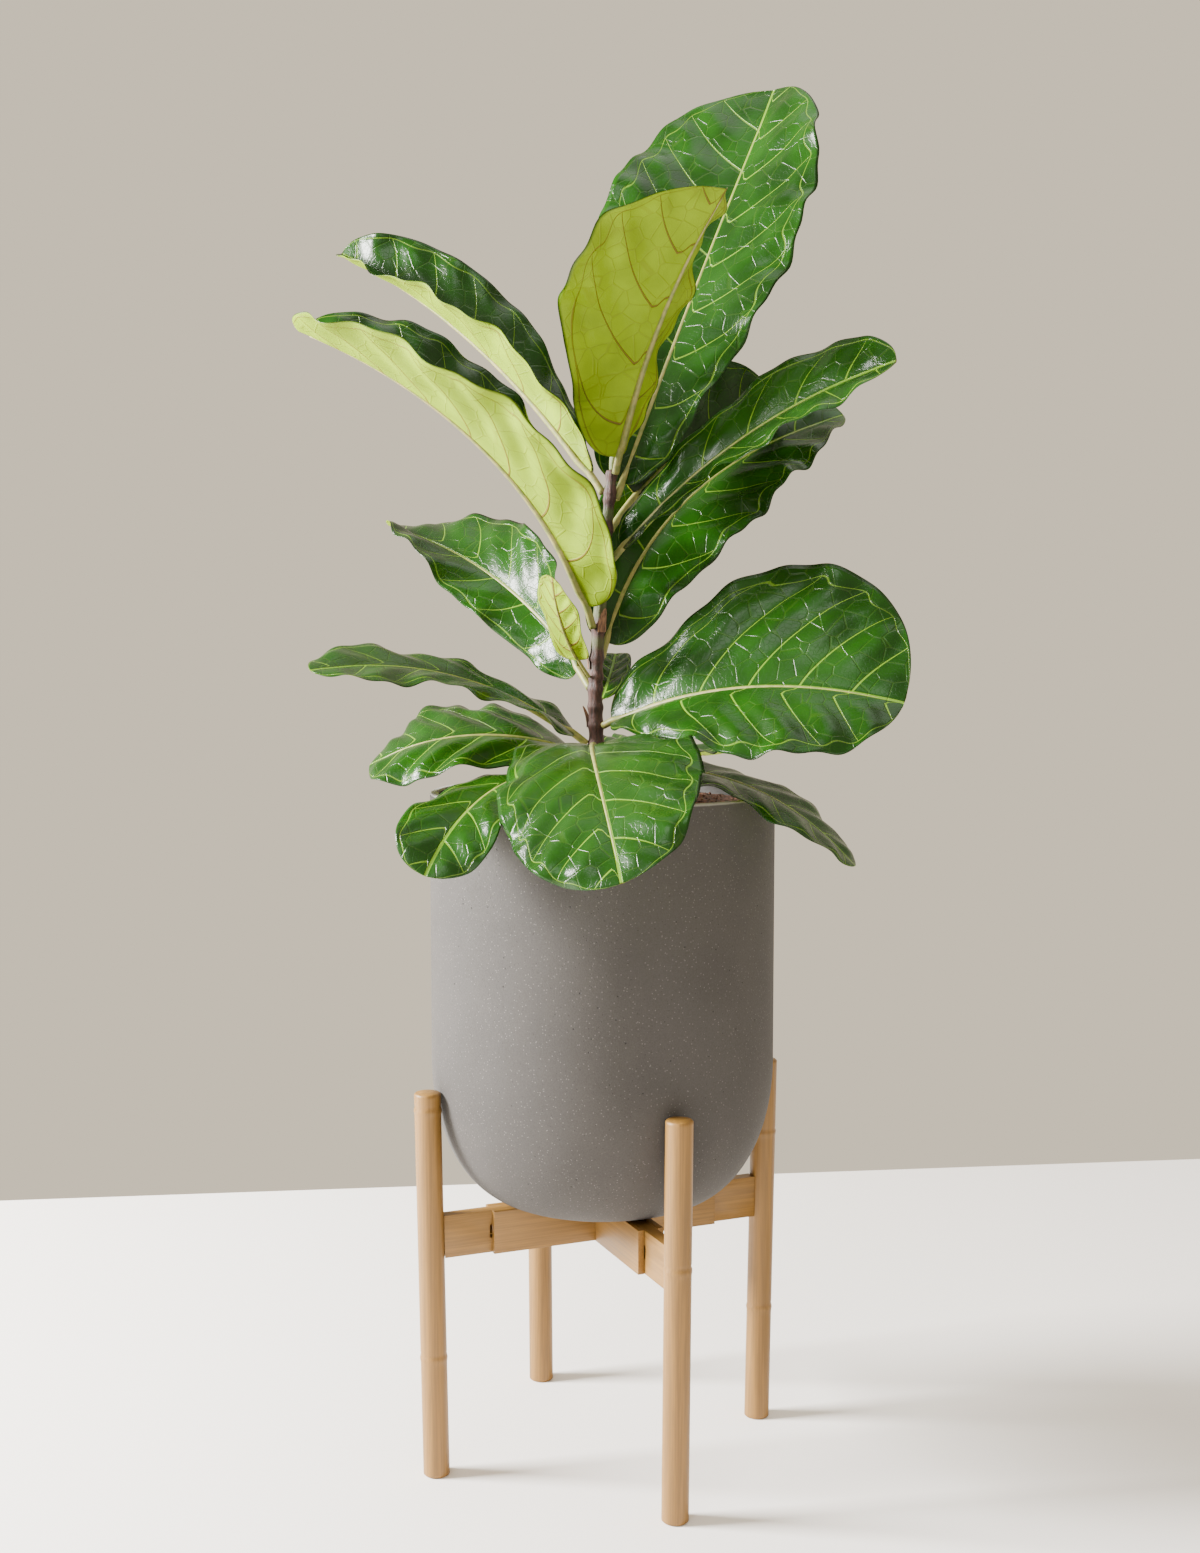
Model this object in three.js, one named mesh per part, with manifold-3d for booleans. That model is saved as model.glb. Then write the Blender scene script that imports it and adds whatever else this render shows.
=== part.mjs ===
// A young fiddle leaf fig in a round-bottomed stoneware pot, held by an adjustable bamboo stand.
// Millimetres, +Z up. The origin is on the floor, on the axis of the pot and the stand.
import * as THREE from 'three';
import { mergeVertices } from 'three/addons/utils/BufferGeometryUtils.js';
import Module from 'manifold-3d';

const wasm = await Module();
wasm.setup();

// ---- driving dimensions -------------------------------------------------------------------
const GAP = 0.3;                  // clearance between pieces that touch
const OVERCUT = 1;                // how far a cut runs past the face that it opens

const LEG_DIAMETER = 22;
const LEG_HEIGHT = 318;
const LEG_SPLAY = 1;              // degrees that the pot spreads each leg outwards
const LEG_CHAMFER = 1.2;
const STAND_TURN = 22.5;          // degrees from +X to the first bar
const LEG_SIDES = 24;
const PIN_SIDES = 20;

const BAR_TOP = 216.7;            // height of the face that carries the pot
const BAR_HEIGHT = 35.5;
const BAR_WIDTH = 22;
const BAR_LENGTH = 200;
const SLAT_THICKNESS = 11;        // the arm that slides in the bar's slot
const SLOT_ROOT = 22;             // bar axis to the closed end of its slot
const SLAT_ROOT = 46;             // stand axis to the inner end of an arm
const TENON_THICKNESS = 6;
const TENON_HEIGHT = 24;
const TENON_LENGTH = 9;
const TENON_ROOT = 4;             // overlap of the tenon with the arm that it grows from

const STOP_PIN_DIAMETER = 9;
const STOP_PIN_RADIUS = 84;       // stand axis to the stop pin
const STOP_PIN_SEAT = 3;          // depth of the blind hole in each cheek
const ARM_TRAVEL_OUT = 12;        // how far an arm slides out from here
const ARM_TRAVEL_IN = 13;         // how far it could slide in with the pot away
const ARM_GROOVE_HEIGHT = 11;

const POT_RADIUS = 142;
const POT_HEIGHT = 340;
const POT_WALL = 7;
const POT_FLOOR = 12;
const POT_FOOT_RADIUS = 66;       // edge of the flat bottom
const POT_CURVE_HEIGHT = 120;     // height of the rounded lower wall
const POT_CURVE_POWER = 2.1;      // 2 is an ellipse, more is fuller
const POT_LIP_ROUND = 2;
const DRAIN_RADIUS = 10;
const POT_SIDES = 56;
const OUTER_CURVE_STEPS = 12;
const INNER_CURVE_STEPS = 10;

const SOIL_BELOW_RIM = 11;        // soil surface below the rim, at the wall
const SOIL_MOUND = 5;             // how much higher the soil stands at the trunk
const MOUND_RINGS = 3;

const TRUNK_RADIUS = 7;
const TRUNK_TIP_RADIUS = 4.6;
const TRUNK_BURIED = 60;          // length of the trunk below the soil surface
const TRUNK_SIDES = 12;
const BUD_LENGTH = 34;
const BUD_RADIUS = 3.6;
const BUD_TAPER = [0.8, 1, 0.75, 0.15];
const BUD_LEAN = 0.13;            // how far the bud leans towards +X, for each millimetre up
const BUD_SIDES = 8;
const STIPULE_THICKNESS = 1.6;
const STIPULE_LEAN = 0.2;         // how far a dry sheath leans out, for each millimetre up
const STIPULE_TAPER = [0.75, 1, 0.7, 0.15];

const PETIOLE_RADIUS = 2.4;
const BLADE_THICKNESS = 1.6;
const LEAF_ROWS = 11;             // cross-sections along a blade
const LEAF_COLUMNS = 7;           // points across a blade
const ROW_CROWDING = 1.4;         // above 1 sets the rows closer together near the base
const LAST_ROW = 0.985;           // place of the last row along the blade
const MIDRIB_STEPS = 60;
const BASE_ROUND = 0.16;          // length of the rounded base, as a share of the blade
const END_POWER = 2.4;            // 2 is an elliptical end, more is blunter
const LOBE_REACH = 0.3;           // how far the base lobes reach back, as a share of half the width
const LOBE_LENGTH = 0.35;         // where the lobes end, as a share of the blade
const LEAST_CURL = 1e-4;          // radians, so that a flat half needs no formula of its own

const POT_BOTTOM = BAR_TOP + GAP;
const RIM = POT_BOTTOM + POT_HEIGHT;
const SOIL_EDGE = RIM - SOIL_BELOW_RIM;
const SOIL_TOP = SOIL_EDGE + SOIL_MOUND;

// The trunk's axis: height above the soil's top, then its place across and towards the back.
const TRUNK_AXIS = [
  [0, -3, 0],
  [40, -5, -2],
  [85, -6, -3],
  [145, -3, 0],
  [205, 2, 2],
  [268, 8, 2],
];

// Dry sheaths left on the trunk: height above the soil's top, azimuth, length and width.
const STIPULES = [
  [58, 150, 18, 7],
  [106, 178, 26, 8],
  [136, 300, 20, 8],
  [172, 205, 18, 7],
];

// Each leaf, from the lowest to the highest on the trunk.
//   at:    height above the soil's top, azimuth of the petiole (degrees from +X towards +Y)
//   path:  rise of the petiole, change of rise and change of azimuth up to the tip, in degrees
//   size:  petiole length, blade length, blade width
//   turn:  roll at the base, and its change up to the tip, in degrees: a positive roll lifts
//          the right half, seen from the petiole along the midrib
//   fold:  angle that the left and the right half stand up from the midrib
//   curl:  how much further the left and the right margin bend up
//   form:  share that the right half is wider, width near the base, place of the widest row
const LEAVES = [
  { node: 'leaf_01', at: [15, 225], path: [20, -75, 10], size: [50, 165, 80], turn: [-20, 55],
    fold: [10, 5], curl: [-10, -5], form: [0, 0.55, 0.7] },
  { node: 'leaf_02', at: [15, -35], path: [20, -70, 15], size: [60, 180, 75], turn: [-10, 10],
    fold: [0, 0], curl: [-5, -10], form: [0, 0.65, 0.6] },
  { node: 'leaf_03', at: [35, 205], path: [25, -55, -55], size: [20, 175, 125], turn: [10, 20],
    fold: [-5, 0], curl: [-15, -5], form: [0.2, 0.75, 0.55] },
  { node: 'leaf_04', at: [30, 70], path: [5, -15, -5], size: [20, 245, 110], turn: [-10, 10],
    fold: [5, 5], curl: [0, 0], form: [0, 0.4, 0.7] },
  { node: 'leaf_05', at: [40, 265], path: [15, -65, 20], size: [25, 245, 155], turn: [0, -35],
    fold: [0, 5], curl: [-5, -15], form: [0, 0.7, 0.55] },
  { node: 'leaf_06', at: [45, 190], path: [40, -50, 20], size: [15, 230, 85], turn: [15, 5],
    fold: [5, 5], curl: [-5, -5], form: [-0.05, 0.7, 0.65] },
  { node: 'leaf_07', at: [60, -35], path: [25, -40, 20], size: [10, 250, 185], turn: [-45, 0],
    fold: [15, 5], curl: [10, 0], form: [-0.15, 0.3, 0.6] },
  { node: 'leaf_08', at: [75, 70], path: [40, -15, 15], size: [10, 70, 35], turn: [0, 0],
    fold: [10, 10], curl: [10, 10], form: [0, 0.7, 0.6] },
  { node: 'leaf_09', at: [90, 125], path: [45, -30, 25], size: [25, 265, 95], turn: [110, -120],
    fold: [10, 10], curl: [5, 10], form: [0.15, 0.7, 0.6] },
  { node: 'leaf_10', at: [100, 225], path: [45, 15, 35], size: [20, 80, 50], turn: [0, 50],
    fold: [5, 5], curl: [0, 0], form: [0.15, 0.7, 0.6] },
  { node: 'leaf_11', at: [115, 60], path: [65, -50, -55], size: [15, 325, 140], turn: [-45, 15],
    fold: [10, 10], curl: [5, 0], form: [0, 0.45, 0.55] },
  { node: 'leaf_12', at: [140, 235], path: [65, -45, -85], size: [20, 335, 140], turn: [35, -10],
    fold: [35, 25], curl: [25, 10], form: [-0.15, 0.5, 0.45] },
  { node: 'leaf_13', at: [195, -20], path: [50, -40, -20], size: [15, 275, 85], turn: [-50, 0],
    fold: [15, 15], curl: [5, 0], form: [0, 0.55, 0.65] },
  { node: 'leaf_14', at: [220, 60], path: [40, -15, -35], size: [50, 185, 120], turn: [-20, -5],
    fold: [40, 15], curl: [35, 10], form: [0.05, 0.7, 0.6] },
  { node: 'leaf_15', at: [245, 40], path: [65, -5, 5], size: [15, 395, 195], turn: [-35, 40],
    fold: [15, 5], curl: [15, -5], form: [-0.1, 0.35, 0.65] },
  { node: 'leaf_16', at: [250, 155], path: [55, -30, -5], size: [20, 320, 100], turn: [-15, 70],
    fold: [40, 25], curl: [20, 15], form: [0, 0.35, 0.5] },
  { node: 'leaf_17', at: [265, -65], path: [65, -20, 20], size: [15, 230, 150], turn: [0, -10],
    fold: [30, 10], curl: [0, 0], form: [0.3, 0.35, 0.65] },
];

// ---- materials ----------------------------------------------------------------------------
const paint = (color, roughness) => new THREE.MeshStandardMaterial({ color, roughness, metalness: 0 });
const bamboo = paint('#d9ae72', 0.55);
const stoneware = paint('#8d8a87', 0.85);
const pottingMix = paint('#4a2f24', 0.95);
const bark = paint('#4b2f2a', 0.8);
const leafGreen = paint('#2f6a26', 0.4);
const stipulePaper = paint('#6b4634', 0.8);
const budGreen = paint('#6c8f3a', 0.5);

// ---- small helpers ------------------------------------------------------------------------
const degrees = (angle) => THREE.MathUtils.degToRad(angle);
const vector = (x, y, z) => new THREE.Vector3(x, y, z);
const object = new THREE.Group();

function place(node, geometry, material) {
  const mesh = new THREE.Mesh(geometry, material);
  mesh.name = node;
  object.add(mesh);
}

// A closed skin through rings of points that all run anticlockwise seen from the last ring's side.
// On a thin sheet each ring runs out along one face and back along the other, and both faces
// are split along the same diagonals, so that they stay apart where the sheet twists.
function loft(rings, thinSheet = false) {
  const sides = rings[0].length;
  const positions = rings.flat().flatMap((point) => point.toArray());
  const index = [];
  for (let row = 0; row + 1 < rings.length; row += 1) {
    for (let side = 0; side < sides; side += 1) {
      const next = (side + 1) % sides;
      const a = row * sides + side;
      const b = row * sides + next;
      if (thinSheet && side >= sides / 2) index.push(a, b, b + sides, a, b + sides, a + sides);
      else index.push(a, b, a + sides, b, b + sides, a + sides);
    }
  }
  const addCap = (ring, first, outwards) => {
    const centre = ring.reduce((sum, point) => sum.add(point), vector(0, 0, 0)).divideScalar(sides);
    const middle = positions.length / 3;
    positions.push(...centre.toArray());
    for (let side = 0; side < sides; side += 1) {
      const next = (side + 1) % sides;
      if (outwards) index.push(first + side, first + next, middle);
      else index.push(first + next, first + side, middle);
    }
  };
  addCap(rings[0], 0, false);
  addCap(rings.at(-1), (rings.length - 1) * sides, true);
  const geometry = new THREE.BufferGeometry();
  geometry.setAttribute('position', new THREE.Float32BufferAttribute(positions, 3));
  geometry.setIndex(index);
  return geometry;
}

// A level circle of points round a place on the axis.
function levelRing(x, y, z, radius, sides) {
  const ring = [];
  for (let side = 0; side < sides; side += 1) {
    const angle = (2 * Math.PI * side) / sides;
    ring.push(vector(x + radius * Math.cos(angle), y + radius * Math.sin(angle), z));
  }
  return ring;
}

function solid(geometry) {
  const bare = geometry.clone();
  bare.deleteAttribute('normal');
  bare.deleteAttribute('uv');
  const merged = mergeVertices(bare, 1e-4);
  return new wasm.Manifold(new wasm.Mesh({
    numProp: 3,
    vertProperties: new Float32Array(merged.attributes.position.array),
    triVerts: new Uint32Array(merged.index.array),
  }));
}

function skin(manifold) {
  const mesh = manifold.getMesh();
  const geometry = new THREE.BufferGeometry();
  geometry.setAttribute('position', new THREE.BufferAttribute(mesh.vertProperties, 3));
  geometry.setIndex(new THREE.BufferAttribute(mesh.triVerts, 1));
  return geometry;
}

// A block given by its lowest and highest corner.
function block(low, high) {
  const size = vector(...high).sub(vector(...low));
  const geometry = new THREE.BoxGeometry(size.x, size.y, size.z);
  geometry.translate(...vector(...low).addScaledVector(size, 0.5).toArray());
  return solid(geometry);
}

// A round rod along Y, between two faces at plus and minus half its length.
function crossRod(x, z, radius, length) {
  const geometry = new THREE.CylinderGeometry(radius, radius, length, PIN_SIDES);
  geometry.translate(x, 0, z);
  return solid(geometry);
}

// ---- the pot's outline --------------------------------------------------------------------
// The lower wall is a quarter of a superellipse from the flat bottom's edge up to the straight
// wall: the share of the way out at a share of the way up.
const outwardShare = (upShare) => (1 - (1 - upShare) ** POT_CURVE_POWER) ** (1 / POT_CURVE_POWER);

function potRadiusAt(z) {
  const upShare = THREE.MathUtils.clamp((z - POT_BOTTOM) / POT_CURVE_HEIGHT, 0, 1);
  return POT_FOOT_RADIUS + (POT_RADIUS - POT_FOOT_RADIUS) * outwardShare(upShare);
}

function roundedWall(radius, footRadius, bottom, curveHeight, steps) {
  const points = [];
  for (let step = 0; step <= steps; step += 1) {
    const upShare = 1 - Math.cos((Math.PI / 2) * (step / steps));
    const out = footRadius + (radius - footRadius) * outwardShare(upShare);
    points.push([out, bottom + curveHeight * upShare]);
  }
  return points;
}

// ---- stand --------------------------------------------------------------------------------
// Everything of the stand is drawn along +X and turned to its place.
const BAR_BOTTOM = BAR_TOP - BAR_HEIGHT;
const BAR_MIDDLE = BAR_TOP - BAR_HEIGHT / 2;
const SLOT_WIDTH = SLAT_THICKNESS + 2 * GAP;
const legLean = Math.tan(degrees(LEG_SPLAY));

// The legs stand as near the axis as the widest part of the pot between them lets them.
let legFootRadius = 0;
for (let z = POT_BOTTOM; z <= LEG_HEIGHT; z += 1) {
  const needed = potRadiusAt(z) - z * legLean + GAP + LEG_DIAMETER / 2;
  legFootRadius = Math.max(legFootRadius, needed);
}
const legCentre = (z) => legFootRadius + z * legLean;

function legSkin(grow = 0) {
  const radius = LEG_DIAMETER / 2;
  const profile = [
    [0, radius - LEG_CHAMFER],
    [LEG_CHAMFER, radius],
    [LEG_HEIGHT - LEG_CHAMFER, radius],
    [LEG_HEIGHT, radius - LEG_CHAMFER],
  ];
  return loft(profile.map(([z, ring]) => levelRing(legCentre(z), 0, z, ring + grow, LEG_SIDES)));
}

function turned(geometry, quarter) {
  return geometry.rotateZ(degrees(STAND_TURN + 90 * quarter));
}

function barSkin(notchAbove) {
  const half = BAR_LENGTH / 2;
  const side = BAR_WIDTH / 2;
  let bar = block([-half, -side, BAR_BOTTOM], [half, side, BAR_TOP]);
  const notchSide = side + GAP;
  const [notchLow, notchHigh] = notchAbove
    ? [BAR_MIDDLE - GAP / 2, BAR_TOP + OVERCUT]
    : [BAR_BOTTOM - OVERCUT, BAR_MIDDLE + GAP / 2];
  bar = bar.subtract(block(
    [-notchSide, -side - OVERCUT, notchLow],
    [notchSide, side + OVERCUT, notchHigh],
  ));
  for (const end of [-1, 1]) {
    const near = Math.min(end * SLOT_ROOT, end * (half + OVERCUT));
    const far = Math.max(end * SLOT_ROOT, end * (half + OVERCUT));
    bar = bar.subtract(block(
      [near, -SLOT_WIDTH / 2, BAR_BOTTOM - OVERCUT],
      [far, SLOT_WIDTH / 2, BAR_TOP + OVERCUT],
    ));
    const seatLength = SLOT_WIDTH + 2 * (STOP_PIN_SEAT + GAP);
    const seatRadius = STOP_PIN_DIAMETER / 2 + GAP;
    bar = bar.subtract(crossRod(end * STOP_PIN_RADIUS, BAR_MIDDLE, seatRadius, seatLength));
  }
  return skin(bar);
}

function armSkin() {
  const half = SLAT_THICKNESS / 2;
  const legAxis = legCentre(BAR_MIDDLE);
  const legRadius = LEG_DIAMETER / 2;
  const tenonEnd = legAxis - legRadius + TENON_LENGTH;
  let arm = block([SLAT_ROOT, -half, BAR_BOTTOM + GAP], [legAxis, half, BAR_TOP - GAP]);
  arm = arm.subtract(solid(legSkin(GAP)));
  arm = arm.add(block(
    [legAxis - legRadius - TENON_ROOT, -TENON_THICKNESS / 2, BAR_MIDDLE - TENON_HEIGHT / 2],
    [tenonEnd, TENON_THICKNESS / 2, BAR_MIDDLE + TENON_HEIGHT / 2],
  ));
  const grooveNear = STOP_PIN_RADIUS - STOP_PIN_DIAMETER / 2 - GAP - ARM_TRAVEL_OUT;
  const grooveFar = STOP_PIN_RADIUS + STOP_PIN_DIAMETER / 2 + GAP + ARM_TRAVEL_IN;
  return skin(arm.subtract(block(
    [grooveNear, -half - OVERCUT, BAR_MIDDLE - ARM_GROOVE_HEIGHT / 2],
    [grooveFar, half + OVERCUT, BAR_MIDDLE + ARM_GROOVE_HEIGHT / 2],
  )));
}

function mortisedLegSkin() {
  const legAxis = legCentre(BAR_MIDDLE);
  const mortise = block(
    [legAxis - LEG_DIAMETER, -TENON_THICKNESS / 2 - GAP, BAR_MIDDLE - TENON_HEIGHT / 2 - GAP],
    [
      legAxis - LEG_DIAMETER / 2 + TENON_LENGTH + GAP,
      TENON_THICKNESS / 2 + GAP,
      BAR_MIDDLE + TENON_HEIGHT / 2 + GAP,
    ],
  );
  return skin(solid(legSkin()).subtract(mortise));
}

function stopPinSkin() {
  const length = SLOT_WIDTH + 2 * STOP_PIN_SEAT;
  return skin(crossRod(STOP_PIN_RADIUS, BAR_MIDDLE, STOP_PIN_DIAMETER / 2, length));
}

place('bar_lower', turned(barSkin(true), 0), bamboo);
place('bar_upper', turned(barSkin(false), 1), bamboo);
const QUARTERS = ['right', 'back', 'left', 'front'];
QUARTERS.forEach((quarter, index) => {
  place(`leg_${quarter}`, turned(mortisedLegSkin(), index), bamboo);
  place(`arm_${quarter}`, turned(armSkin(), index), bamboo);
  place(`stop_pin_${quarter}`, turned(stopPinSkin(), index), bamboo);
});

// ---- pot and soil -------------------------------------------------------------------------
// Turns a profile of [radius, height] points, listed from the bottom outwards and up.
function turnedProfile(profile, sides) {
  const geometry = new THREE.LatheGeometry(profile.map(([r, z]) => new THREE.Vector2(r, z)), sides);
  return geometry.rotateX(Math.PI / 2);
}

const innerRadius = POT_RADIUS - POT_WALL;
const innerFoot = POT_FOOT_RADIUS - POT_WALL;
const innerBottom = POT_BOTTOM + POT_FLOOR;
const innerCurve = POT_CURVE_HEIGHT - POT_FLOOR + POT_WALL;

function potSkin() {
  const outside = roundedWall(
    POT_RADIUS, POT_FOOT_RADIUS, POT_BOTTOM, POT_CURVE_HEIGHT, OUTER_CURVE_STEPS,
  );
  const inside = roundedWall(
    innerRadius, innerFoot, innerBottom, innerCurve, INNER_CURVE_STEPS,
  ).reverse();
  const profile = [
    [DRAIN_RADIUS, POT_BOTTOM],
    ...outside,
    [POT_RADIUS, RIM - POT_LIP_ROUND],
    [POT_RADIUS - POT_LIP_ROUND, RIM],
    [innerRadius + POT_LIP_ROUND, RIM],
    [innerRadius, RIM - POT_LIP_ROUND],
    ...inside,
    [DRAIN_RADIUS, innerBottom],
    [DRAIN_RADIUS, POT_BOTTOM],
  ];
  return turnedProfile(profile, POT_SIDES);
}

const trunkFoot = SOIL_TOP - TRUNK_BURIED;

function soilSkin() {
  const wall = roundedWall(
    innerRadius - GAP, innerFoot - GAP, innerBottom + GAP, innerCurve, INNER_CURVE_STEPS,
  );
  const mound = (radius) => SOIL_EDGE + SOIL_MOUND * Math.cos((Math.PI / 2) * (radius / innerRadius));
  const profile = [
    [0, innerBottom + GAP],
    ...wall,
    [innerRadius - GAP, SOIL_EDGE],
  ];
  for (let ring = MOUND_RINGS - 1; ring > 0; ring -= 1) {
    const radius = (innerRadius * ring) / MOUND_RINGS;
    profile.push([radius, mound(radius)]);
  }
  profile.push([0, SOIL_TOP]);
  const [, trunkX, trunkY] = TRUNK_AXIS[0];
  const socket = loft([
    levelRing(trunkX, trunkY, trunkFoot - GAP, TRUNK_RADIUS + GAP, TRUNK_SIDES),
    levelRing(trunkX, trunkY, SOIL_TOP + OVERCUT, TRUNK_RADIUS + GAP, TRUNK_SIDES),
  ]);
  return skin(solid(turnedProfile(profile, POT_SIDES)).subtract(solid(socket)));
}

place('pot', potSkin(), stoneware);
place('soil', soilSkin(), pottingMix);

// ---- trunk --------------------------------------------------------------------------------
const trunkHeight = TRUNK_AXIS.at(-1)[0];

// The trunk's centre and radius at a height above the soil's top.
function trunkAt(height) {
  const upper = Math.max(1, TRUNK_AXIS.findIndex(([level]) => level >= height));
  const [lowLevel, lowX, lowY] = TRUNK_AXIS[upper - 1];
  const [highLevel, highX, highY] = TRUNK_AXIS[upper];
  const share = (height - lowLevel) / (highLevel - lowLevel);
  return {
    centre: vector(lowX + share * (highX - lowX), lowY + share * (highY - lowY), SOIL_TOP + height),
    radius: THREE.MathUtils.lerp(TRUNK_RADIUS, TRUNK_TIP_RADIUS, height / trunkHeight),
  };
}

function trunkSkin() {
  const [, footX, footY] = TRUNK_AXIS[0];
  const rings = [levelRing(footX, footY, trunkFoot, TRUNK_RADIUS, TRUNK_SIDES)];
  for (const [level] of TRUNK_AXIS) {
    const { centre, radius } = trunkAt(level);
    rings.push(levelRing(centre.x, centre.y, centre.z, radius, TRUNK_SIDES));
  }
  return loft(rings);
}

function budSkin() {
  const { centre } = trunkAt(trunkHeight);
  const base = centre.z + GAP;
  return loft(BUD_TAPER.map((share, step) => {
    const up = (BUD_LENGTH * step) / (BUD_TAPER.length - 1);
    return levelRing(centre.x + BUD_LEAN * up, centre.y, base + up, BUD_RADIUS * share, BUD_SIDES);
  }));
}

// A flat pointed sheath that stands against the trunk and leans outwards.
function stipuleSkin([height, azimuth, length, width]) {
  const { centre, radius } = trunkAt(height);
  const outwards = vector(Math.cos(degrees(azimuth)), Math.sin(degrees(azimuth)), 0);
  const sideways = vector(-outwards.y, outwards.x, 0);
  return loft(STIPULE_TAPER.map((share, step) => {
    const up = (length * step) / (STIPULE_TAPER.length - 1);
    const offset = radius + GAP + STIPULE_THICKNESS / 2 + STIPULE_LEAN * up;
    const circle = levelRing(0, 0, centre.z + up, 1, BUD_SIDES);
    return circle.map((point) => vector(centre.x, centre.y, point.z)
      .addScaledVector(outwards, offset + (point.x * STIPULE_THICKNESS) / 2)
      .addScaledVector(sideways, (point.y * share * width) / 2));
  }));
}

place('trunk', trunkSkin(), bark);
place('terminal_bud', budSkin(), budGreen);
STIPULES.forEach((stipule, index) => {
  place(`stipule_${index + 1}`, stipuleSkin(stipule), stipulePaper);
});

// ---- leaves -------------------------------------------------------------------------------
// Half-width along the blade, as a share of the largest: an elliptical base lobe, a narrow
// waist that swells to the widest row, and a blunt elliptical end.
function widthShare(along, waist, widest) {
  const swell = THREE.MathUtils.smoothstep(along, 0, widest);
  const base = Math.sqrt(Math.max(0, 1 - (1 - Math.min(along / BASE_ROUND, 1)) ** 2));
  const past = Math.max(0, (along - widest) / (1 - widest));
  return (waist + (1 - waist) * swell) * base * Math.sqrt(Math.max(0, 1 - past ** END_POWER));
}

// The midrib is followed in short straight steps, while its rise and azimuth change evenly.
function midrib({ at, path, size }) {
  const [height, azimuth] = at;
  const [rise, droop, bend] = path;
  const length = size[0] + size[1];
  const heading = (share) => {
    const elevation = degrees(rise + droop * share);
    const turn = degrees(azimuth + bend * share);
    return vector(
      Math.cos(elevation) * Math.cos(turn),
      Math.cos(elevation) * Math.sin(turn),
      Math.sin(elevation),
    );
  };
  const { centre, radius } = trunkAt(height);
  const clear = radius + GAP + PETIOLE_RADIUS * Math.abs(Math.sin(degrees(rise)));
  const start = centre.add(vector(Math.cos(degrees(azimuth)), Math.sin(degrees(azimuth)), 0)
    .multiplyScalar(clear));
  const points = [start];
  for (let step = 0; step < MIDRIB_STEPS; step += 1) {
    const here = (step + 0.5) / MIDRIB_STEPS;
    points.push(points[step].clone().addScaledVector(heading(here), length / MIDRIB_STEPS));
  }
  return { heading, point: (share) => {
    const step = Math.min(Math.floor(share * MIDRIB_STEPS), MIDRIB_STEPS - 1);
    return points[step].clone().lerp(points[step + 1], share * MIDRIB_STEPS - step);
  } };
}

function leafSkin(leaf) {
  const [petiole, blade, width] = leaf.size;
  const [roll, twist] = leaf.turn;
  const [skew, waist, widest] = leaf.form;
  const { heading, point } = midrib(leaf);
  const bladeStart = petiole / (petiole + blade);
  const stations = [-1, -0.5];
  for (let row = 0; row < LEAF_ROWS; row += 1) {
    const spacing = Math.sin((Math.PI / 2) * (row / (LEAF_ROWS - 1)));
    stations.push(LAST_ROW * spacing ** ROW_CROWDING);
  }
  const rings = stations.map((along) => {
    const onBlade = Math.max(along, 0);
    const share = along < 0 ? bladeStart * (1 + along) : bladeStart + (1 - bladeStart) * along;
    const centre = point(share);
    const tangent = heading(share);
    const azimuth = degrees(leaf.at[1] + leaf.path[2] * share);
    const level = vector(Math.sin(azimuth), -Math.cos(azimuth), 0);
    const across = level.clone().applyAxisAngle(tangent, -degrees(roll + twist * onBlade));
    const upwards = across.clone().cross(tangent);
    const thickness = along <= 0 ? PETIOLE_RADIUS : BLADE_THICKNESS / 2;
    // A point of one face: share out to the margin, and 1 above or -1 below.
    const face = (side, above) => {
      const reach = Math.abs(side);
      const hand = side > 0 ? 1 : 0;
      const fold = degrees(leaf.fold[hand]);
      const curl = degrees(leaf.curl[hand]) + LEAST_CURL;
      const wider = 1 + skew * (hand ? 1 : -1);
      const spread = (width / 2) * widthShare(onBlade, waist, widest) * wider;
      const half = Math.max(PETIOLE_RADIUS, spread);
      const out = (half * (Math.sin(fold + curl * reach) - Math.sin(fold))) / curl;
      const lift = (half * (Math.cos(fold) - Math.cos(fold + curl * reach))) / curl;
      const fade = Math.max(0, 1 - onBlade / LOBE_LENGTH);
      const back = LOBE_REACH * spread * Math.sin((Math.PI / 2) * reach) * fade;
      const lean = fold + curl * reach;
      const depth = above * thickness * Math.cos((Math.PI / 2) * side);
      return centre.clone()
        .addScaledVector(across, Math.sign(side) * (out - depth * Math.sin(lean)))
        .addScaledVector(upwards, lift + depth * Math.cos(side === 0 ? 0 : lean))
        .addScaledVector(tangent, along > 0 ? -back : 0);
    };
    const ring = [];
    for (let column = 0; column < LEAF_COLUMNS; column += 1) {
      const side = -1 + (2 * column) / (LEAF_COLUMNS - 1);
      ring.push(face(side, 1));
    }
    for (let column = LEAF_COLUMNS - 2; column > 0; column -= 1) {
      const side = -1 + (2 * column) / (LEAF_COLUMNS - 1);
      ring.push(face(side, -1));
    }
    return ring;
  });
  return loft(rings, true);
}

for (const leaf of LEAVES) place(leaf.node, leafSkin(leaf), leafGreen);

export default object;
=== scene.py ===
"""A potted fiddle leaf fig in a bamboo stand, laid out as a Blender add-on and run as a script.

Metres, +Z up, the origin on the floor on the axis of the pot. Sizes that the frame holds are read
from it. Every leaf follows the same formula as its node in the frame, on a finer grid.
"""
import math

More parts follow.
